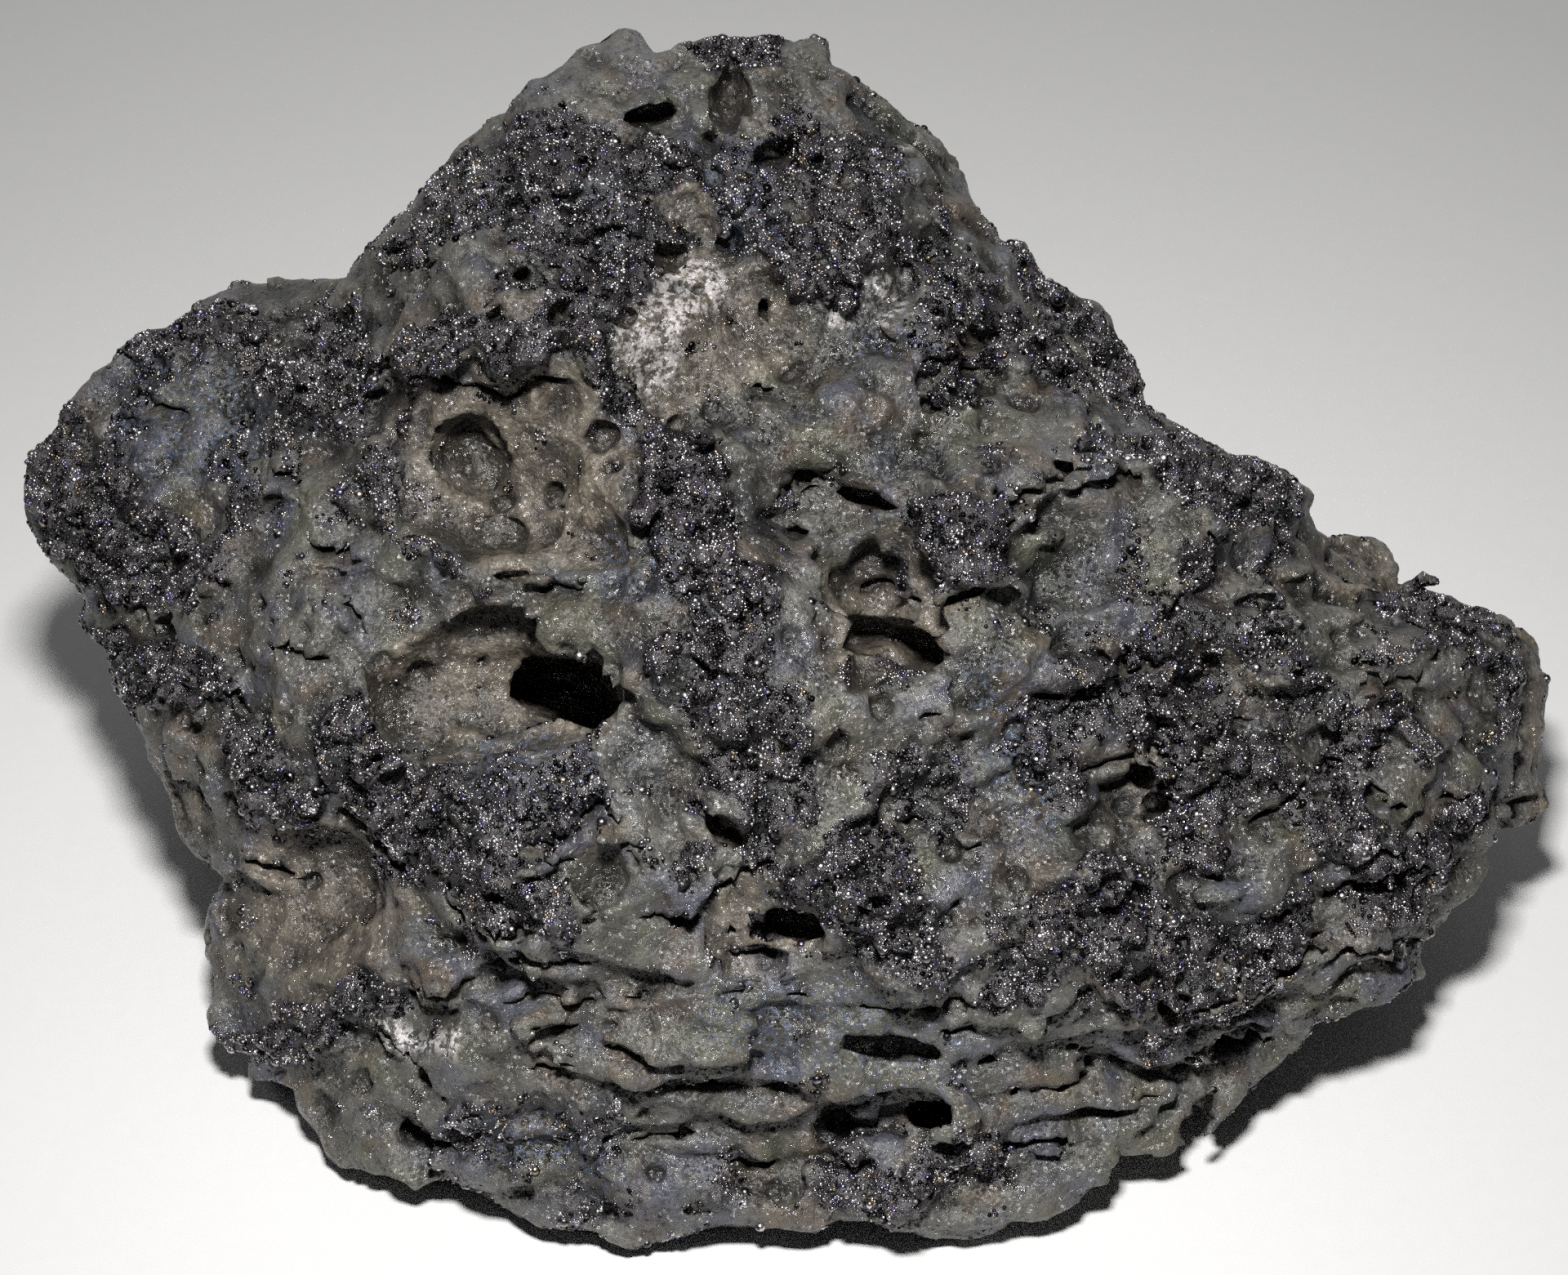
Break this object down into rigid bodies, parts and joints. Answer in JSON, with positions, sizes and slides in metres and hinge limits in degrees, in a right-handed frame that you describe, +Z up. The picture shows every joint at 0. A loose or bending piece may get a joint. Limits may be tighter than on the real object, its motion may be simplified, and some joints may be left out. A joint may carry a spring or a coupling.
{
  "type": "scoria rock",
  "caption": "Hand-sized lump of dark vesicular lava with a peaked face, gas holes and a flat patch underneath that it rests on.",
  "frame": {"origin": "centre of the box around the rock, on the surface that it rests on", "axes": "+Z up, +X along the longest extent, towards the tip of the right wing; the peaked face looks to -Y and up"},
  "size_m": [0.0964, 0.0639, 0.0482],
  "materials": {
    "lava": "rough vesicular crust, satin to glassy"
  },
  "bodies": {
    "root": {"scoria_rock": "lava"}
  },
  "joints": []
}
